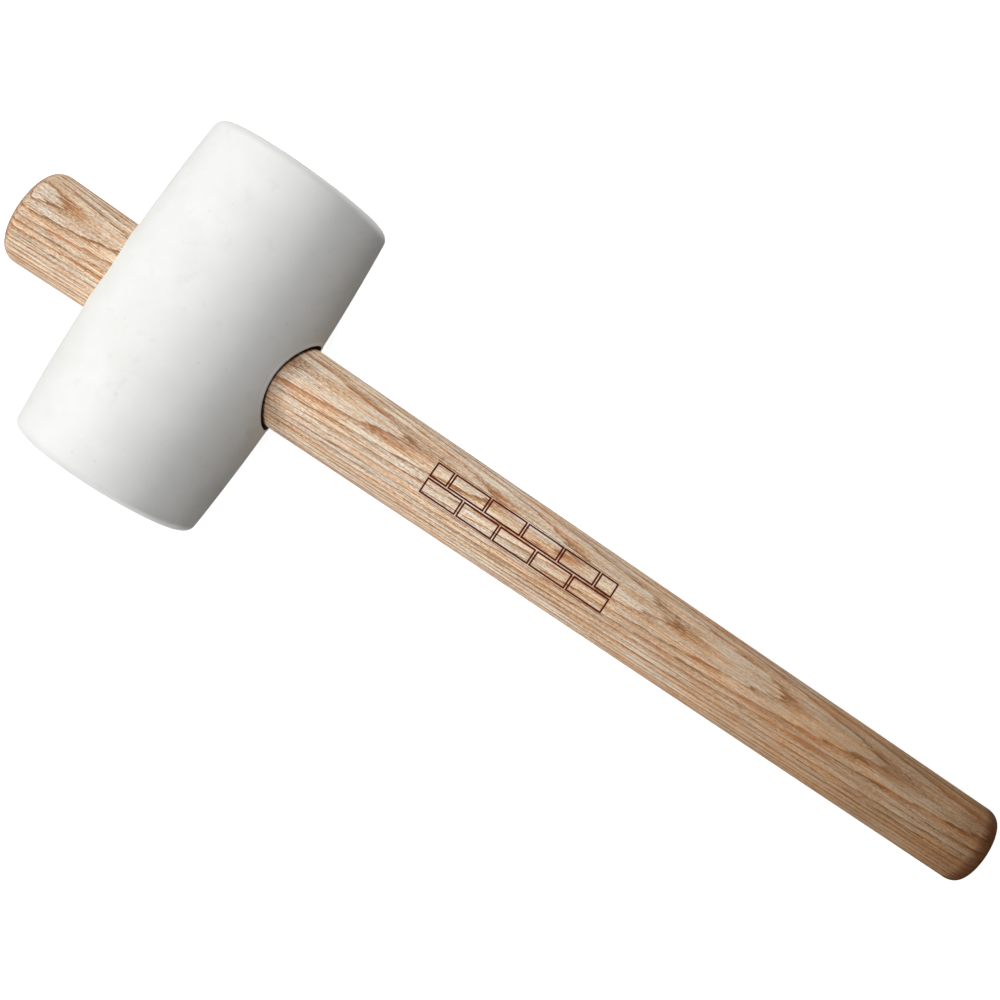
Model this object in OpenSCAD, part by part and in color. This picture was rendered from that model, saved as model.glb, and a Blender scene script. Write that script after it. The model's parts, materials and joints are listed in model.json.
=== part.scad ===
// Rubber mallet with a wooden handle, lying on its side as it rests on a bench.
// The handle runs along X with its butt towards +X, and the head's own axis lies along Y.
// The belly of the head and the edge of the butt touch the plane z = 0.
// Each piece is drawn about the centre of the head, where the two axes cross, and then laid down.

/* [Head] */
// Length of the head, from one striking face to the other
head_length = 113; // [90:1:140]
// Diameter round the belly, halfway along the head
belly_d = 67.5; // [58:0.5:80]
// How far the belly stands out beyond the radius of the striking faces
belly_swell = 2.5; // [0.5:0.1:5]
// Radius of the rounded edge round each striking face
edge_round = 3.4; // [1:0.1:8]

/* [Eye] */
// Clearance between the handle and the mouth of the eye, on the grip side
mouth_gap = 1.6; // [0.3:0.1:3]
// How far up the eye the clearance runs before the rubber grips the handle
mouth_depth = 14; // [8:1:20]
// Length of the straight part of that clearance, measured from the belly
mouth_straight = 6; // [4:0.5:7]

/* [Handle] */
// Length of the handle
handle_length = 351; // [300:1:400]
// Distance from the head's axis to the top end of the handle
top_reach = 64.6; // [50:1:80]
// Diameter at the top end
top_d = 32.2; // [31:0.1:34]
// Diameter where the handle enters the top of the head
shoulder_d = 31.2; // [29:0.1:32]
// Diameter where the handle leaves the head on the grip side
throat_d = 28.7; // [26:0.1:30]
// Diameter at the butt
butt_d = 25; // [22:0.1:28]
// Length along the handle of the rounding at each end
end_round_length = 3.5; // [1:0.1:6]
// Depth of that rounding towards the handle's axis
end_round_depth = 2.2; // [1:0.1:6]

/* [Hidden] */

// Smoothness of the turned surfaces, and the steps that draw the head's long arc and a small arc
$fn = 128;
BARREL_STEPS = 24;
ROUND_STEPS = 8;
// How far a cutting shape reaches past the surface that it opens
CUT_PAST = 2;

half_length = head_length / 2;
belly_r = belly_d / 2;
butt_reach = handle_length - top_reach;

// The side of the barrel is one arc, and its edges are small arcs tangent to it and to the face
barrel_arc_r = (half_length * half_length + belly_swell * belly_swell) / (2 * belly_swell);
barrel_arc_centre = [belly_r - barrel_arc_r, 0];
edge_y = half_length - edge_round;
edge_angle = asin(edge_y / (barrel_arc_r - edge_round));
edge_r = barrel_arc_centre[0] + (barrel_arc_r - edge_round) * cos(edge_angle);

// The tilt at which the belly and the start of the butt's rounding both touch the bench
rest_x = butt_reach - end_round_length;
rest_tilt = asin(belly_r / norm([rest_x, butt_d / 2])) - atan(butt_d / 2 / rest_x);
// Distance along X from the head's axis to the middle of the mallet's length
middle_x = (butt_reach - top_reach) / 2 * cos(rest_tilt);

// Radius of the handle inside the head, x from the head's axis
function seat_r(x) = ((shoulder_d + throat_d) + (throat_d - shoulder_d) * x / belly_r) / 4;

// Points along an arc, leaving out the given number of steps at each end
function arc(centre, r, from, to, steps, trim = 0) = [
    for (i = [trim : steps - trim])
        let (a = from + (to - from) * i / steps)
            centre + r * [cos(a), sin(a)]
];

// Outline of half the head, from the axis round the barrel and back to the axis
function head_outline() = concat(
    [[0, -half_length]],
    arc([edge_r, -edge_y], edge_round, -90, -edge_angle, ROUND_STEPS),
    arc(barrel_arc_centre, barrel_arc_r, -edge_angle, edge_angle, BARREL_STEPS, 1),
    arc([edge_r, edge_y], edge_round, edge_angle, 90, ROUND_STEPS),
    [[0, half_length]]
);

// Quarter-ellipse that rounds an end over, from its flat to the side, then the same reversed
function end_round(end_x, r, inward) = [
    for (i = [0 : ROUND_STEPS])
        let (a = 90 * i / ROUND_STEPS)
            [
                r - end_round_depth * (1 - sin(a)),
                end_x + inward * end_round_length * (1 - cos(a))
            ]
];
function reversed(points) = [for (i = [len(points) - 1 : -1 : 0]) points[i]];

// Outline of half the handle, from the top end to the butt
function handle_outline() = concat(
    [[0, -top_reach]],
    end_round(-top_reach, top_d / 2, 1),
    [
        [seat_r(-belly_r), -belly_r],
        [seat_r(belly_r), belly_r]
    ],
    reversed(end_round(butt_reach, butt_d / 2, -1)),
    [[0, butt_reach]]
);

// Outline of half the eye: the handle's own taper, then the wider mouth on the grip side
function eye_outline() = [
    [0, -belly_r - CUT_PAST],
    [seat_r(-belly_r), -belly_r - CUT_PAST],
    [seat_r(-belly_r), -belly_r],
    [seat_r(belly_r - mouth_depth), belly_r - mouth_depth],
    [throat_d / 2 + mouth_gap, belly_r - mouth_straight],
    [throat_d / 2 + mouth_gap, belly_r + CUT_PAST],
    [0, belly_r + CUT_PAST]
];

// Tips a piece drawn about the head's centre down onto the bench and centres the mallet's length
module lay_down() {
    translate([-middle_x, 0, belly_r]) rotate([0, rest_tilt, 0]) children();
}

// Turns an outline about the handle's axis
module turned_along_handle(outline) {
    rotate([0, 90, 0]) rotate_extrude() polygon(outline);
}

// Moulded solid rubber barrel, open only at the eye that the handle passes through
module rubber_head() {
    color("white") lay_down() difference() {
        rotate([-90, 0, 0]) rotate_extrude() polygon(head_outline());
        turned_along_handle(eye_outline());
    }
}

// One turned piece of ash, thickest at the top so that the head can't fly off
module ash_handle() {
    color("burlywood") lay_down() turned_along_handle(handle_outline());
}

rubber_head();
ash_handle();
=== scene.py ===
"""A white rubber mallet with an ash handle, lying on a pale floor.

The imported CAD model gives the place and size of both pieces. This script builds a finer mesh for
each of them and gives them their materials, all in metres. The shapes are drawn in the mallet's own
frame (X down the handle, Y along the head, from the head's centre) and then laid down on the floor.
"""

import json
import math

import bmesh
import bpy
import numpy as np
from mathutils import Matrix, Vector, noise


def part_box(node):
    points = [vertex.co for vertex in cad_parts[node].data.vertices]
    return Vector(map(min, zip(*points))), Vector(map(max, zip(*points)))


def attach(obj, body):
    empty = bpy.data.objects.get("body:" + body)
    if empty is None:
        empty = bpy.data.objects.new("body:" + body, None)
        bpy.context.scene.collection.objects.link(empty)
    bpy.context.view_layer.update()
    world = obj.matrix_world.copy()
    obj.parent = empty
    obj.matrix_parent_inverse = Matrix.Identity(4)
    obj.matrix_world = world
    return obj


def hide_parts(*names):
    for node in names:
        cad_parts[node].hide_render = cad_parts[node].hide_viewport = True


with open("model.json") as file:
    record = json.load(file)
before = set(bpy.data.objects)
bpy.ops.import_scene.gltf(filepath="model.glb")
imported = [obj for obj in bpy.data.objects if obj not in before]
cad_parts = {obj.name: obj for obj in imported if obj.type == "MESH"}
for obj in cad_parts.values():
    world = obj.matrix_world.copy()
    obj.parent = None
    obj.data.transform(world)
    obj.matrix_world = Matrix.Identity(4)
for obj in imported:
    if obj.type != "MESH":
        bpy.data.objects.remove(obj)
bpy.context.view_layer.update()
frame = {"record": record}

MM = 0.001

# ---------------------------------------------------------------- sizes and places

# A striking face gives the head's centre and length, and the head's own box gives its belly
FACE = next(m for m in frame["record"]["mounts"] if m["name"] == "striking_face_a")
FACE_X, HALF_HEAD, FACE_Z = FACE["pos_m"]
HEAD_CENTRE = Vector((FACE_X, 0, FACE_Z))
HEAD_LOW, HEAD_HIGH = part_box("rubber_head")
BELLY_R = (HEAD_HIGH.z - HEAD_LOW.z) / 2

# The barrel's outline, as the CAD head has it
BELLY_SWELL = 2.5 * MM
EDGE_ROUND = 3.4 * MM
BARREL_ARC_R = (HALF_HEAD**2 + BELLY_SWELL**2) / (2 * BELLY_SWELL)
EDGE_Y = HALF_HEAD - EDGE_ROUND
EDGE_ANGLE = math.asin(EDGE_Y / (BARREL_ARC_R - EDGE_ROUND))
EDGE_R = BELLY_R - BARREL_ARC_R + (BARREL_ARC_R - EDGE_ROUND) * math.cos(EDGE_ANGLE)

# The eye's mouth on the grip side: its clearance round the handle, its lip's radius and its depth
MOUTH_GAP = 1.2 * MM
MOUTH_LIP = 0.3 * MM
MOUTH_DEPTH = 14 * MM
# Its mouth at the handle's top, and the hair's breadth that it keeps from the handle in between
TOP_GAP = 0.1 * MM
TOP_LIP = 0.3 * MM
SEAT_GAP = 0.04 * MM
# The low bead that the mould leaves on the barrel, close round each mouth
BEAD_HEIGHT = 0.16 * MM
BEAD_WIDTH = 0.35 * MM
BEAD_AWAY = 0.55 * MM

# The handle's outline, as the CAD handle has it
HANDLE_LENGTH = 351 * MM
TOP_REACH = 64.6 * MM
BUTT_REACH = HANDLE_LENGTH - TOP_REACH
TOP_R = 32.2 / 2 * MM
SHOULDER_R = 31.2 / 2 * MM
THROAT_R = 28.7 / 2 * MM
BUTT_R = 25 / 2 * MM
END_ROUND_LENGTH = 3.5 * MM
END_ROUND_DEPTH = 2.2 * MM

# The most that the surfaces dip below their true outlines
RUBBER_DIP = 0.1 * MM
WOOD_DIP = 0.06 * MM

# Mesh fineness of the head: columns round the barrel, rows along it, half the side of the square
# patch that holds a mouth, and rings across each stretch
COLUMNS = 256
ROWS = 126
PATCH = 29
PATCH_RINGS = 16
LIP_RINGS = 8
WALL_RINGS = 40
EDGE_RINGS = 10
FACE_RINGS = 14
# How strongly a patch's rings crowd towards its mouth: 1 spaces them evenly
CROWDING = 1.7
# The wall of the eye runs into each lip over one part in this many of its length
LIP_FADE = 12
# Mesh fineness of the handle
HANDLE_COLUMNS = 192
HANDLE_STEP = 1.5 * MM
END_ROUND_STEPS = 12
END_RINGS = 10

# The tilt at which the belly and the start of the butt's rounding both touch the floor
REST_X = BUTT_REACH - END_ROUND_LENGTH
TILT = math.asin(BELLY_R / math.hypot(REST_X, BUTT_R)) - math.atan(BUTT_R / REST_X)
# Takes the mallet's own frame to the row frame
TO_ROW = Matrix.Translation(HEAD_CENTRE) @ Matrix.Rotation(TILT, 4, "Y")


def end_round(end_x, radius, inward):
    """(x, radius) along the quarter-ellipse that rounds an end over, from its flat to the side."""
    points = []
    for i in range(END_ROUND_STEPS + 1):
        a = math.pi / 2 * i / END_ROUND_STEPS
        x = end_x + inward * END_ROUND_LENGTH * (1 - math.cos(a))
        points.append((x, radius - END_ROUND_DEPTH * (1 - math.sin(a))))
    return points


HANDLE_OUTLINE = (
    end_round(-TOP_REACH, TOP_R, 1)
    + [(-BELLY_R, SHOULDER_R), (BELLY_R, THROAT_R)]
    + end_round(BUTT_REACH, BUTT_R, -1)[::-1]
)


def handle_r(x):
    """Radius of the handle at a distance along its axis from the head's centre."""
    return float(np.interp(x, *zip(*HANDLE_OUTLINE)))


# ---------------------------------------------------------------- camera

CAMERA_LENS = 50
CAMERA_AIM = Vector((-5, 7.3, 20)) * MM
CAMERA_DISTANCE = 436 * MM
CAMERA_LEAN = math.radians(6.2)
CAMERA_ROLL = math.radians(34.0)


def make_camera():
    """Looks down at the mallet, leaning to the butt, with the handle running to the lower right."""
    data = bpy.data.cameras.new("camera")
    data.lens = CAMERA_LENS
    data.clip_start = 10 * MM
    camera = bpy.data.objects.new("camera", data)
    bpy.context.scene.collection.objects.link(camera)
    turn = Matrix.Rotation(CAMERA_LEAN, 4, "Y") @ Matrix.Rotation(CAMERA_ROLL, 4, "Z")
    camera.matrix_world = (
        Matrix.Translation(CAMERA_AIM) @ turn @ Matrix.Translation((0, 0, CAMERA_DISTANCE))
    )
    bpy.context.scene.camera = camera


make_camera()

# ---------------------------------------------------------------- mesh helpers


def loop_of(bm, points):
    """A ring of new vertices."""
    return [bm.verts.new(p) for p in points]


def bridge(bm, lower, upper):
    """A band of quads between two rings with the same number of vertices."""
    count = len(lower)
    for i in range(count):
        j = (i + 1) % count
        bm.faces.new((lower[i], lower[j], upper[j], upper[i]))


def sweep(bm, start, rings):
    """Bridges from a ring of vertices through rings of points, and returns the last vertices."""
    for points in rings:
        ring = loop_of(bm, points)
        bridge(bm, start, ring)
        start = ring
    return start


def cap(bm, rim, centre):
    """A fan of triangles that closes a ring."""
    middle = bm.verts.new(centre)
    for i in range(len(rim)):
        bm.faces.new((rim[i], rim[(i + 1) % len(rim)], middle))


def finish_mesh(bm, name):
    """The mesh of a closed bmesh, with its faces turned outwards."""
    bmesh.ops.recalc_face_normals(bm, faces=bm.faces)
    mesh = bpy.data.meshes.new(name)
    bm.to_mesh(mesh)
    bm.free()
    return mesh


def press_in(mesh, dip):
    """Moves each vertex inwards by the depth that dip gives for its place."""
    normals = [v.normal.copy() for v in mesh.vertices]
    for v, normal in zip(mesh.vertices, normals):
        v.co -= normal * dip(v.co)


def turns(count):
    """Angles once round a ring."""
    return [2 * math.pi * i / count for i in range(count)]


def new_piece(name, mesh, material, node):
    """Lays a finished mesh down in the row frame as the piece that stands for a CAD node."""
    mesh.transform(TO_ROW)
    mesh.shade_smooth()
    mesh.materials.append(material)
    piece = bpy.data.objects.new(name, mesh)
    bpy.context.scene.collection.objects.link(piece)
    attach(piece, "root")
    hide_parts(node)


# ---------------------------------------------------------------- head


def barrel_r(y):
    """Radius of the barrel between its rounded edges."""
    return BELLY_R - BARREL_ARC_R + math.sqrt(BARREL_ARC_R**2 - y**2)


def on_barrel(y, angle, lift=0.0):
    """A point of the barrel's side, or a little above it; angle 0 faces down the handle."""
    radius = barrel_r(y) + lift
    return Vector((radius * math.cos(angle), y, radius * math.sin(angle)))


def in_patch(column, row):
    """Whether a place on the barrel's grid is inside the square patch round either mouth."""
    quarter = COLUMNS // 4
    from_mouth = (column + quarter) % (COLUMNS // 2) - quarter
    return abs(from_mouth) < PATCH and abs(row - ROWS // 2) < PATCH


def barrel_grid(bm):
    """Rows of vertices round the barrel and their quads, with both mouths' patches left open."""
    grid = []
    for i in range(ROWS + 1):
        y = -EDGE_Y + 2 * EDGE_Y * i / ROWS
        row = []
        for j, angle in enumerate(turns(COLUMNS)):
            row.append(None if in_patch(j, i) else bm.verts.new(on_barrel(y, angle)))
        grid.append(row)
    for lower, upper in zip(grid[:-1], grid[1:]):
        for j in range(COLUMNS):
            k = (j + 1) % COLUMNS
            corners = (lower[j], lower[k], upper[k], upper[j])
            if all(corners):
                bm.faces.new(corners)
    return grid


def patch_border():
    """(column, row) steps from a mouth's centre, once round the square patch that holds it."""
    n = PATCH
    run = range(-n, n)
    steps = [(n, i) for i in run]
    steps += [(-i, n) for i in run]
    steps += [(-n, -i) for i in run]
    steps += [(i, -n) for i in run]
    return steps


def patch_rings(hole_r):
    """Rings from just inside the patch's border to a mouth's rim, with the bead close round the rim."""
    borders = [(c * 2 * math.pi / COLUMNS, r * 2 * EDGE_Y / ROWS) for c, r in patch_border()]
    rings = []
    for k in range(1, PATCH_RINGS + 1):
        blend = 1 - (1 - k / PATCH_RINGS) ** CROWDING
        ring = []
        for angle, y in borders:
            bearing = math.atan2(angle * BELLY_R, y)
            rim_y = hole_r * math.cos(bearing)
            rim_angle = math.asin(hole_r * math.sin(bearing) / barrel_r(rim_y))
            away = (on_barrel(y, angle) - on_barrel(rim_y, rim_angle)).length * (1 - blend)
            bead = BEAD_HEIGHT * math.exp(-(((away - BEAD_AWAY) / BEAD_WIDTH) ** 2))
            ring.append(on_barrel(y + (rim_y - y) * blend, angle + (rim_angle - angle) * blend, bead))
        rings.append(ring)
    return rings


def lip_rings(rim, reach, lip):
    """Rings that curve from a mouth's rim over its lip to the wall of the eye, at the radius reach."""
    rings = []
    for k in range(1, LIP_RINGS + 1):
        t = k / LIP_RINGS
        ring = []
        for p in rim:
            corner = Vector((0, p.y, p.z)).normalized() * reach
            corner.x = math.sqrt(barrel_r(corner.y) ** 2 - corner.z**2)
            end = corner - Vector((lip, 0, 0))
            ring.append(p * (1 - t) ** 2 + corner * 2 * t * (1 - t) + end * t**2)
        rings.append(ring)
    return rings


def add_mouth(bm, grid, side, gap, lip):
    """Fills the patch round a mouth and turns its lip in, and returns the last ring and its points.

    side is 1 for the mouth on the grip side and -1 for the one at the handle's top.
    """
    border = []
    for c, r in patch_border():
        column = c if side == 1 else COLUMNS // 2 - c
        border.append(grid[ROWS // 2 + r][column % COLUMNS])
    reach = handle_r(side * BELLY_R) + gap
    rings = patch_rings(reach + lip)
    rings += lip_rings(rings[-1], reach, lip)
    rings = [[Vector((side * p.x, p.y, p.z)) for p in ring] for ring in rings]
    return sweep(bm, border, rings), rings[-1]


def eye_r(x):
    """Radius of the eye: snug on the handle, and wider towards the mouth on the grip side."""
    snug = handle_r(x) + SEAT_GAP
    mouth = handle_r(BELLY_R) + MOUTH_GAP
    t = (x - (BELLY_R - MOUTH_DEPTH)) / (MOUTH_DEPTH / 2)
    t = min(max(t, 0), 1)
    smooth = t * t * (3 - 2 * t)
    return snug + (mouth - snug) * smooth


def eye_wall(grip_lip, top_lip):
    """Rings between the two lips, through the eye."""
    rings = []
    for k in range(1, WALL_RINGS):
        t = k / WALL_RINGS
        fade = min(1, t * LIP_FADE, (1 - t) * LIP_FADE)
        ring = []
        for a, b in zip(grip_lip, top_lip):
            x = a.x + (b.x - a.x) * t
            across = Vector((0, a.y, a.z)).normalized()
            nearer = a if t < 0.5 else b
            lip_r = Vector((0, nearer.y, nearer.z)).length
            radius = lip_r + (eye_r(x) - lip_r) * fade
            ring.append(Vector((x, across.y * radius, across.z * radius)))
        rings.append(ring)
    return rings


def face_outline():
    """(y, radius) of the rounded edge after its first point, then of the rings across the flat."""
    points = []
    for k in range(1, EDGE_RINGS + 1):
        a = EDGE_ANGLE + (math.pi / 2 - EDGE_ANGLE) * k / EDGE_RINGS
        points.append((EDGE_Y + EDGE_ROUND * math.sin(a), EDGE_R + EDGE_ROUND * math.cos(a)))
    points += [(HALF_HEAD, EDGE_R * (1 - k / FACE_RINGS)) for k in range(1, FACE_RINGS)]
    return points


def face_rings(end):
    """Rings of the rounded edge and the flat at one end of the head, about the head's axis."""
    rings = []
    for y, r in face_outline():
        rings.append([(r * math.cos(a), end * y, r * math.sin(a)) for a in turns(COLUMNS)])
    return rings


def rubber_dip(place):
    """How far the moulding dips below its true outline at a place."""
    broad = noise.noise(place / (26 * MM))
    fine = noise.noise(place / (7 * MM) + Vector((9, 0, 0)))
    return (0.5 + 0.35 * broad + 0.15 * fine) * RUBBER_DIP


def rubber_head():
    """The barrel with its two rounded faces and the eye right through it."""
    bm = bmesh.new()
    grid = barrel_grid(bm)
    grip_ring, grip_lip = add_mouth(bm, grid, 1, MOUTH_GAP, MOUTH_LIP)
    top_ring, top_lip = add_mouth(bm, grid, -1, TOP_GAP, TOP_LIP)
    bridge(bm, sweep(bm, grip_ring, eye_wall(grip_lip, top_lip)), top_ring)
    for end, start in ((-1, grid[0]), (1, grid[-1])):
        rim = sweep(bm, start, face_rings(end))
        cap(bm, rim, (0, end * HALF_HEAD, 0))
    mesh = finish_mesh(bm, "rubber_head")
    press_in(mesh, rubber_dip)
    return mesh


# ---------------------------------------------------------------- handle


def handle_stations():
    """(x, radius) of every ring: the outline with closer steps, and rings across both flat ends."""
    stations = []
    for (x0, r0), (x1, r1) in zip(HANDLE_OUTLINE[:-1], HANDLE_OUTLINE[1:]):
        steps = max(1, round((x1 - x0) / HANDLE_STEP))
        stations += [(x0 + (x1 - x0) * k / steps, r0 + (r1 - r0) * k / steps) for k in range(steps)]
    stations.append(HANDLE_OUTLINE[-1])
    (top_x, top_r), (butt_x, butt_r) = HANDLE_OUTLINE[0], HANDLE_OUTLINE[-1]
    inner = [k / END_RINGS for k in range(1, END_RINGS)]
    top_flat = [(top_x, top_r * k) for k in inner]
    butt_flat = [(butt_x, butt_r * k) for k in reversed(inner)]
    return top_flat + stations + butt_flat


def wood_dip(place):
    """How far the turned surface dips below its true outline at a place."""
    return (0.5 + 0.5 * noise.noise(place / (30 * MM))) * WOOD_DIP


def ash_handle():
    """The turned stick, closed by a flat at each end."""
    rings = []
    for x, r in handle_stations():
        rings.append([(x, r * math.sin(a), r * math.cos(a)) for a in turns(HANDLE_COLUMNS)])
    bm = bmesh.new()
    first = loop_of(bm, rings[0])
    last = sweep(bm, first, rings[1:])
    cap(bm, first, (-TOP_REACH, 0, 0))
    cap(bm, last, (BUTT_REACH, 0, 0))
    mesh = finish_mesh(bm, "ash_handle")
    press_in(mesh, wood_dip)
    return mesh


# ---------------------------------------------------------------- node helpers


class Shader:
    """A material's node tree, with short calls for the nodes that the materials need."""

    def __init__(self, name):
        self.material = bpy.data.materials.new(name)
        self.material.use_nodes = True
        self.nodes = self.material.node_tree.nodes
        self.links = self.material.node_tree.links
        self.surface = self.nodes["Principled BSDF"]

    def set(self, node, socket, value):
        """Links an output to a socket, or sets the socket's value."""
        target = node.inputs[socket]
        if isinstance(value, bpy.types.NodeSocket):
            self.links.new(value, target)
        elif value is not None:
            target.default_value = value

    def math(self, operation, a, b=None, c=None, clamp=False):
        """A sum on one, two or three values."""
        node = self.nodes.new("ShaderNodeMath")
        node.operation = operation
        node.use_clamp = clamp
        for i, value in enumerate((a, b, c)):
            self.set(node, i, value)
        return node.outputs[0]

    def plus(self, total, value, share, middle=0.0):
        """The total, plus a share of how far the value is above its middle."""
        return self.math("MULTIPLY_ADD", self.math("SUBTRACT", value, middle), share, total)

    def hypot(self, a, b):
        """The distance that a and b make at right angles to each other."""
        squares = self.math("ADD", self.math("MULTIPLY", a, a), self.math("MULTIPLY", b, b))
        return self.math("SQRT", squares)

    def vector(self, operation, a, b):
        """A sum on two vectors."""
        node = self.nodes.new("ShaderNodeVectorMath")
        node.operation = operation
        self.set(node, 0, a)
        self.set(node, 1, b)
        return node.outputs["Vector"]

    def noise(self, place, lengths, detail=2.0, roughness=0.5, shift=(0, 0, 0)):
        """Noise from 0 to 1 with features of the given lengths; shift makes it a pattern of its own."""
        node = self.nodes.new("ShaderNodeTexNoise")
        self.set(node, "Vector", self.vector("ADD", self.vector("DIVIDE", place, lengths), shift))
        self.set(node, "Scale", 1.0)
        self.set(node, "Detail", detail)
        self.set(node, "Roughness", roughness)
        return node.outputs["Fac"]

    def per_step(self, value):
        """A fixed random number from 0 to 1 for each whole number."""
        node = self.nodes.new("ShaderNodeTexWhiteNoise")
        node.noise_dimensions = "1D"
        self.set(node, "W", value)
        return node.outputs["Value"]

    def ramp(self, value, low, high, out_low=0.0, out_high=1.0):
        """A smooth step of value from low to high, mapped to out_low and out_high."""
        node = self.nodes.new("ShaderNodeMapRange")
        node.interpolation_type = "SMOOTHSTEP"
        self.set(node, "Value", value)
        self.set(node, "From Min", low)
        self.set(node, "From Max", high)
        self.set(node, "To Min", out_low)
        self.set(node, "To Max", out_high)
        return node.outputs["Result"]

    def mix(self, factor, a, b, mode="MIX"):
        """Two colours mixed; the node's sockets for colours are inputs 6 and 7 and output 2."""
        node = self.nodes.new("ShaderNodeMix")
        node.data_type = "RGBA"
        node.blend_type = mode
        self.set(node, 0, factor)
        self.set(node, 6, a)
        self.set(node, 7, b)
        return node.outputs[2]

    def bump(self, height, distance, strength):
        """Sets the surface's normal from a height map."""
        node = self.nodes.new("ShaderNodeBump")
        self.set(node, "Height", height)
        self.set(node, "Distance", distance)
        self.set(node, "Strength", strength)
        self.set(self.surface, "Normal", node.outputs["Normal"])

    def mallet_mm(self):
        """Position in the mallet's own frame, in millimetres."""
        mapping = self.nodes.new("ShaderNodeMapping")
        mapping.vector_type = "TEXTURE"
        self.set(mapping, "Vector", self.nodes.new("ShaderNodeTexCoord").outputs["Object"])
        self.set(mapping, "Location", HEAD_CENTRE)
        self.set(mapping, "Rotation", (0, TILT, 0))
        self.set(mapping, "Scale", (MM, MM, MM))
        return mapping.outputs["Vector"]

    def axes(self, vector):
        """The three parts of a vector."""
        node = self.nodes.new("ShaderNodeSeparateXYZ")
        self.set(node, 0, vector)
        return node.outputs


def colour(red, green, blue):
    """Linear colour from display values of 0 to 255."""
    def linear(value):
        value /= 255
        return value / 12.92 if value <= 0.04045 else ((value + 0.055) / 1.055) ** 2.4
    return (linear(red), linear(green), linear(blue), 1.0)


# Lengths in the materials are in millimetres: the belly's radius and both ends of the handle
BELLY = BELLY_R / MM
TOP_END = -TOP_REACH / MM
BUTT_END = BUTT_REACH / MM

# ---------------------------------------------------------------- ash

# The growth rings: their width, the slope at which they run out along the handle, and their centre,
# which lies above the handle at this depth and this far round from straight up
RING_WIDTH = 1.7
GRAIN_RUNOUT = 0.0395
PITH_DEPTH = 74.4
PITH_ANGLE = math.radians(28)

# The wood's colours near the head and near the butt; the darker colours near the butt are painted
# shade, for the light's falloff along the handle
PALE_WOOD = (colour(255, 245, 230), colour(229, 196, 162))
TAN_WOOD = (colour(219, 187, 156), colour(197, 153, 113))
BROWN_WOOD = (colour(160, 112, 79), colour(151, 102, 62))
BLUSH = colour(215, 147, 104)
COOL_TINT = colour(247, 252, 255)
WARM_TINT = colour(255, 246, 232)
# Its marks: painted shade where it leaves the head, painted shadow in the eye's gap, painted shade of
# the light's falloff towards the butt, end grain and painted shade on the butt's rounding, and end
# grain at the top end
THROAT_SHADE = colour(150, 92, 58)
EYE_GAP_SHADE = colour(96, 36, 20)
BUTT_FALLOFF_SHADE = colour(120, 62, 24)
BUTT_GRAIN_AND_SHADE = colour(104, 58, 28)
TOP_STAIN = colour(150, 104, 70)
BURNT = colour(84, 20, 10)

# The burnt ornament: where it starts down the handle, how far its middle lies to the side of the
# handle's top line, its size, and the size of its bricks, of the joints between them and of its lines
ORNAMENT_START = 85.0
ORNAMENT_ASIDE = 1.2
ORNAMENT_LENGTH = 66.0
ORNAMENT_HEIGHT = 11.4
BRICK_PITCH = 13.2
COURSE_HEIGHT = 5.7
BRICK_JOINT = 0.9
BURN_WIDTH = 0.5


def ring_number(s, p, x, y, z):
    """Growth-ring number at a point, wavering along the handle as real rings do."""
    across = s.math("SUBTRACT", y, PITH_DEPTH * math.sin(PITH_ANGLE))
    up = s.math("SUBTRACT", z, PITH_DEPTH * math.cos(PITH_ANGLE))
    depth = s.math("ADD", s.hypot(across, up), s.math("MULTIPLY", x, GRAIN_RUNOUT))
    broad = s.math("MULTIPLY_ADD", s.noise(p, (70, 16, 16)), 0.8, -0.4)
    fine = s.math("MULTIPLY_ADD", s.noise(p, (12, 0.9, 0.9), detail=3), 0.6, -0.3)
    return s.math("MULTIPLY_ADD", depth, 1 / RING_WIDTH, s.math("ADD", broad, fine))


def ring_bands(s, p, rings):
    """The rings' broad bands of darker spring wood, and the broken thin line at the start of each."""
    phase = s.math("FRACT", rings)
    character = s.per_step(s.math("FLOOR", rings))
    rise = s.ramp(phase, 0.0, 0.06)
    fade = s.ramp(phase, 0.1, s.math("MULTIPLY_ADD", character, 0.35, 0.5), 1, 0)
    strength = s.math("MULTIPLY_ADD", character, 0.4, 0.6)
    band = s.math("MULTIPLY", s.math("MULTIPLY", rise, fade), strength)
    line = s.math("MULTIPLY", rise, s.ramp(phase, 0.05, 0.2, 1, 0))
    broken = s.ramp(s.noise(p, (9, 1.2, 1.2), shift=(5, 1, 2)), 0.35, 0.6)
    return band, s.math("MULTIPLY", line, broken)


def grain_darkness(s, p, x, band, line):
    """How dark the grain is: about 0 in the palest wood, and 1 or more in the darkest lines."""
    fibres = s.noise(p, (16, 0.33, 0.33), detail=3, roughness=0.7)
    streaks = s.noise(p, (40, 2.4, 2.4), detail=0)
    hairs = s.noise(p, (1.0, 0.26, 0.26), detail=1, roughness=0.6)
    pores = s.ramp(s.noise(p, (1.6, 0.26, 0.26), detail=1), 0.56, 0.66)
    dark = s.plus(0.0, fibres, 2.6, middle=0.5)
    dark = s.plus(dark, streaks, 0.7, middle=0.5)
    dark = s.plus(dark, hairs, 1.6, middle=0.5)
    dark = s.plus(dark, band, 0.5, middle=0.35)
    dark = s.plus(dark, line, 0.95)
    dark = s.plus(dark, s.math("MULTIPLY", pores, s.math("ADD", band, 0.15)), 0.8)
    contrast = s.ramp(x, 40, 260, 1.1, 0.9)
    middle = s.ramp(x, -50, -20, 0.52, 0.42)
    return s.math("MULTIPLY_ADD", dark, contrast, middle)


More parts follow.
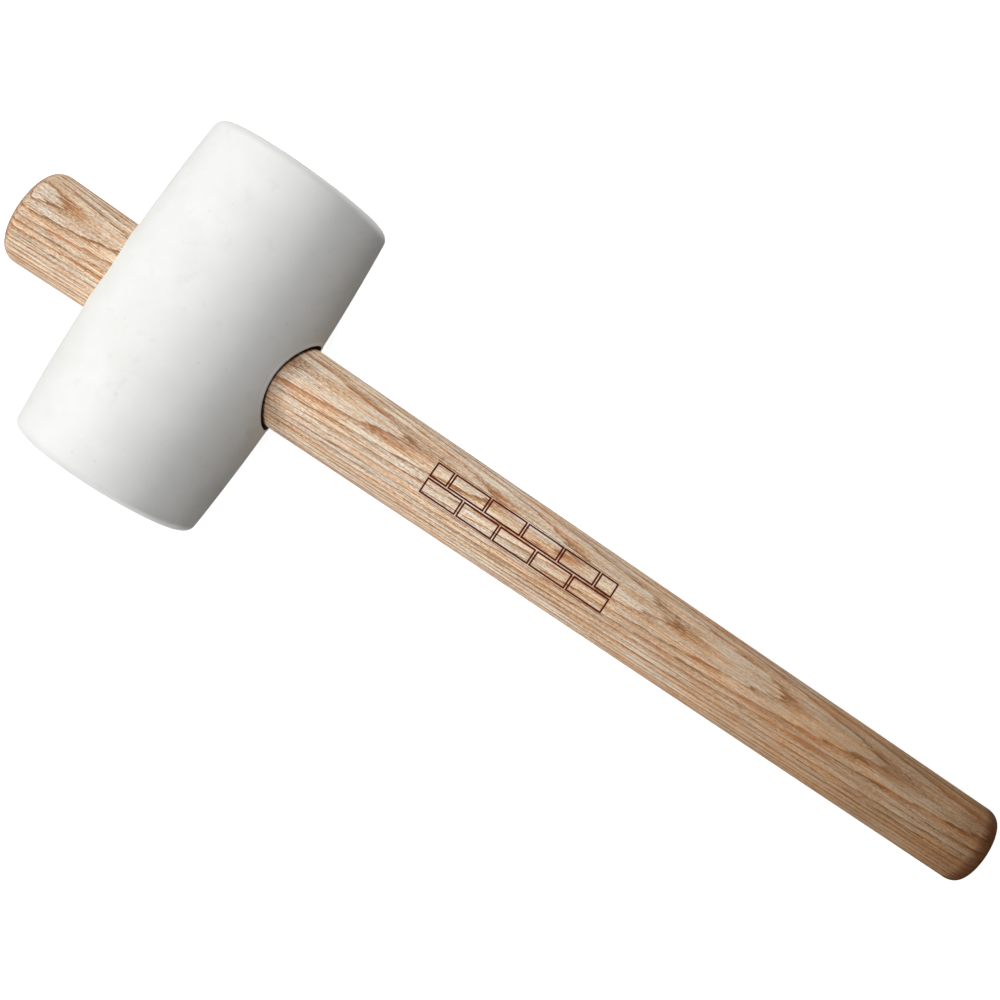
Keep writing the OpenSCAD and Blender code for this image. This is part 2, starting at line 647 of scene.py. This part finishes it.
def wood_tone(s, p, x, dark, band):
    """The clean wood's colour: pale to brown as the grain darkens, with blushes and shifting warmth,
    and darker towards the butt as painted shade.
    """
    # Painted shade: the wood darkens from the head to the butt, as the light falls off along the handle
    along = s.ramp(x, 60, 300)
    tone = s.mix(s.ramp(dark, -0.2, 0.6), s.mix(along, *PALE_WOOD), s.mix(along, *TAN_WOOD))
    tone = s.mix(s.ramp(dark, 0.4, 1.4), tone, s.mix(along, *BROWN_WOOD))
    blush = s.ramp(s.noise(p, (26, 3, 3), shift=(3, 8, 5)), 0.4, 0.7, 0, 0.55)
    in_bands = s.math("MULTIPLY_ADD", band, 0.8, 0.25)
    tone = s.mix(s.math("MULTIPLY", blush, in_bands, clamp=True), tone, BLUSH)
    warmth = s.ramp(s.noise(p, (22, 2.2, 2.2), detail=3, shift=(1, 4, 9)), 0.4, 0.62)
    return s.mix(1.0, tone, s.mix(warmth, COOL_TINT, WARM_TINT), "MULTIPLY")


def shade_and_end_grain(s, tone, x, z):
    """The wood's colour with painted shade where it leaves the head, in the eye's gap and towards the
    butt, and darker end grain at both ends, with painted shade on the butt's rounding.
    """
    from_head_axis = s.hypot(x, z)
    grip_side = s.math("GREATER_THAN", x, 0)
    # Painted shade: a brown tint on the handle where it leaves the head on the grip side
    throat_shade = s.ramp(from_head_axis, BELLY - 0.3, BELLY + 2.2, 0.35, 0)
    tone = s.mix(s.math("MULTIPLY", throat_shade, grip_side), tone, THROAT_SHADE)
    # Painted shadow: the handle turns almost black inside the head, in the gap under the mouth's rim
    eye_shade = s.ramp(from_head_axis, BELLY - 0.9, BELLY - 0.25, 0.97, 0)
    tone = s.mix(s.math("MULTIPLY", eye_shade, grip_side), tone, EYE_GAP_SHADE)
    # Painted shade: the last stretch before the butt darkens further, as the light falls off there
    tone = s.mix(s.ramp(x, BUTT_END - 16, BUTT_END - 7, 0, 0.2), tone, BUTT_FALLOFF_SHADE)
    # End grain and painted shade: the butt's rounding and the stretch just before it darken, less so on
    # the flat end
    on_rounding = s.ramp(x, BUTT_END - 6.2, BUTT_END - 2.6, 0, 0.75)
    off_flat = s.ramp(x, BUTT_END - 0.4, BUTT_END, 1, 0.5)
    tone = s.mix(s.math("MULTIPLY", on_rounding, off_flat), tone, BUTT_GRAIN_AND_SHADE)
    return s.mix(s.ramp(x, TOP_END + 0.2, TOP_END + 2.4, 0.6, 0), tone, TOP_STAIN)


def off_centre(s, value, length):
    """Distance of a value from the middle of a stretch that starts at 0."""
    return s.math("ABSOLUTE", s.math("SUBTRACT", value, length / 2))


def off_middle(s, value, step):
    """Distance of a value from the middle of the step that it falls in."""
    return off_centre(s, s.math("FLOORED_MODULO", value, step), step)


def burnt_ornament(s, x, y, z):
    """Mask of a plain burnt-in ornament on the upper side: the outlines of two courses of bricks."""
    grip_r = handle_r((ORNAMENT_START + ORNAMENT_LENGTH / 2) * MM) / MM
    across = s.math("MULTIPLY", s.math("ARCTAN2", y, z), grip_r)
    u = s.math("SUBTRACT", x, ORNAMENT_START)
    v = s.math("ADD", across, ORNAMENT_HEIGHT / 2 - ORNAMENT_ASIDE)
    course = s.math("FLOOR", s.math("DIVIDE", v, COURSE_HEIGHT))
    shifted = s.math("MULTIPLY_ADD", course, BRICK_PITCH / 2, u)
    # Each pair is a distance from a middle, and how far from that middle the bricks' outline lies
    edges = (
        (off_middle(s, shifted, BRICK_PITCH), (BRICK_PITCH - BRICK_JOINT) / 2),
        (off_middle(s, v, COURSE_HEIGHT), (COURSE_HEIGHT - BRICK_JOINT) / 2),
        (off_centre(s, u, ORNAMENT_LENGTH), (ORNAMENT_LENGTH - BRICK_JOINT) / 2),
        (off_centre(s, v, ORNAMENT_HEIGHT), ORNAMENT_HEIGHT / 2),
    )
    past_edges = [s.math("SUBTRACT", distance, reach) for distance, reach in edges]
    outside = past_edges[0]
    for past_edge in past_edges[1:]:
        outside = s.math("MAXIMUM", outside, past_edge)
    line = s.ramp(s.math("ABSOLUTE", outside), BURN_WIDTH * 0.35, BURN_WIDTH * 0.8, 1, 0)
    return s.math("MULTIPLY", line, s.math("GREATER_THAN", z, 0))


def ash_material():
    """Flat-sawn ash: cream summer wood, orange-brown bands, fine fibres and a burnt ornament."""
    s = Shader("ash_wood")
    p = s.mallet_mm()
    x, y, z = s.axes(p)
    band, line = ring_bands(s, p, ring_number(s, p, x, y, z))
    dark = grain_darkness(s, p, x, band, line)
    ornament = burnt_ornament(s, x, y, z)
    tone = shade_and_end_grain(s, wood_tone(s, p, x, dark, band), x, z)
    s.set(s.surface, "Base Color", s.mix(ornament, tone, BURNT))
    s.set(s.surface, "Roughness", s.math("MULTIPLY_ADD", dark, 0.15, 0.55, clamp=True))
    s.set(s.surface, "Specular IOR Level", 0.1)
    relief = s.math("MULTIPLY_ADD", dark, -0.6, s.math("MULTIPLY", ornament, -1.5))
    s.bump(relief, 0.05 * MM, 0.8)
    return s.material


# ---------------------------------------------------------------- rubber

WHITE_RUBBER = (colour(243, 244, 242), colour(238, 239, 235))
GREY_BLOTCH = colour(226, 226, 223)
YELLOW_SPECK = colour(216, 213, 202)
# Painted shade on the eye's wall inside the head
EYE_WALL_SHADE = colour(66, 28, 18)
# Radius of the eye just inside its mouth on the grip side
EYE_WALL = (THROAT_R + MOUTH_GAP) / MM


def rubber_material():
    """Matt white moulded rubber, faintly mottled, with a few specks, and the eye's wall painted dark as
    painted shade.
    """
    s = Shader("white_rubber")
    p = s.mallet_mm()
    broad = s.noise(p, (16, 16, 16), detail=4, roughness=0.6)
    blotches = s.noise(p, (5, 5, 5), detail=3, shift=(7, 3, 1))
    specks = s.noise(p, (1.6, 1.6, 1.6), detail=1, shift=(2, 9, 4))
    tone = s.mix(s.ramp(broad, 0.3, 0.7), *WHITE_RUBBER)
    tone = s.mix(s.ramp(blotches, 0.58, 0.76, 0, 0.35), tone, GREY_BLOTCH)
    tone = s.mix(s.ramp(specks, 0.74, 0.8, 0, 0.4), tone, YELLOW_SPECK)
    x, y, z = s.axes(p)
    # Painted shade: the rubber of the eye's wall turns dark brown, as the gap round the handle lies in
    # shadow
    eye_shade = s.ramp(s.hypot(y, z), EYE_WALL + 0.02, EYE_WALL + 0.2, 0.95, 0)
    s.set(s.surface, "Base Color", s.mix(eye_shade, tone, EYE_WALL_SHADE))
    s.set(s.surface, "Roughness", s.math("MULTIPLY_ADD", broad, 0.2, 0.5))
    s.set(s.surface, "Specular IOR Level", 0.3)
    s.bump(s.noise(p, (0.35, 0.35, 0.35), detail=3, roughness=0.7), 0.03 * MM, 0.5)
    return s.material


# ---------------------------------------------------------------- floor and light

WHITE = (1, 1, 1, 1)
SKY_STRENGTH = 0.10
# The floor: how far it reaches, how much light it throws back, and a glow that only the camera sees
FLOOR_REACH = 4.0
FLOOR_GREY = (0.42, 0.42, 0.42, 1)
FLOOR_GLOW = 0.92

# The soft boxes light the row frame's X from start to end, so that their light fades over the butt
LIT_START = -450 * MM
LIT_END = 148 * MM
LIT_WIDTH = 500 * MM
LIT_SPREAD = math.radians(13)


def make_floor():
    """A plain pale sheet that the mallet lies on."""
    mesh = bpy.data.meshes.new("floor")
    bm = bmesh.new()
    bmesh.ops.create_grid(bm, x_segments=4, y_segments=4, size=FLOOR_REACH)
    bm.to_mesh(mesh)
    bm.free()
    floor = bpy.data.objects.new("floor", mesh)
    bpy.context.scene.collection.objects.link(floor)
    s = Shader("floor")
    s.set(s.surface, "Base Color", FLOOR_GREY)
    s.set(s.surface, "Roughness", 0.9)
    s.set(s.surface, "Emission Color", WHITE)
    seen = s.nodes.new("ShaderNodeLightPath").outputs["Is Camera Ray"]
    s.set(s.surface, "Emission Strength", s.math("MULTIPLY", seen, FLOOR_GLOW))
    mesh.materials.append(s.material)


def soft_box(name, direction, distance, level):
    """A soft box in a direction from the mallet, above a patch of the floor that it lights.

    level is the light that it gives a surface facing it, as a share of full white.
    """
    towards = Vector(direction).normalized()
    upright = Vector((towards.x, 0, towards.z)).normalized()
    data = bpy.data.lights.new(name, "AREA")
    data.shape = "RECTANGLE"
    data.size = (LIT_END - LIT_START) * upright.z
    data.size_y = LIT_WIDTH
    data.spread = LIT_SPREAD
    data.energy = level * data.size * data.size_y * math.pi
    light = bpy.data.objects.new(name, data)
    across = Vector((0, 1, 0)).cross(towards).normalized()
    turn = Matrix((across, towards.cross(across), towards)).transposed()
    aim = Vector(((LIT_START + LIT_END) / 2, 0, BELLY_R))
    light.matrix_world = Matrix.Translation(aim + towards * distance) @ turn.to_4x4()
    light.visible_camera = False
    bpy.context.scene.collection.objects.link(light)


def make_sky():
    """A dim sky, which is white where the camera sees it past the floor."""
    world = bpy.data.worlds.new("sky")
    world.use_nodes = True
    nodes = world.node_tree.nodes
    links = world.node_tree.links
    background = nodes["Background"]
    strength = nodes.new("ShaderNodeMath")
    strength.operation = "MAXIMUM"
    strength.inputs[1].default_value = SKY_STRENGTH
    links.new(nodes.new("ShaderNodeLightPath").outputs["Is Camera Ray"], strength.inputs[0])
    links.new(strength.outputs[0], background.inputs["Strength"])
    background.inputs["Color"].default_value = WHITE
    bpy.context.scene.world = world


def make_light():
    """A key light beyond the handle's top end, one to either side of the mallet, and the sky."""
    soft_box("key", (-0.95, -0.3, 1), 1100 * MM, 0.53)
    soft_box("left", (-0.08, 1.7, 1), 1600 * MM, 0.54)
    soft_box("right", (-0.08, -1.7, 1), 1600 * MM, 0.47)
    make_sky()
    bpy.context.scene.view_settings.view_transform = "Standard"


new_piece("moulded_head", rubber_head(), rubber_material(), "rubber_head")
new_piece("turned_handle", ash_handle(), ash_material(), "ash_handle")
make_floor()
make_light()
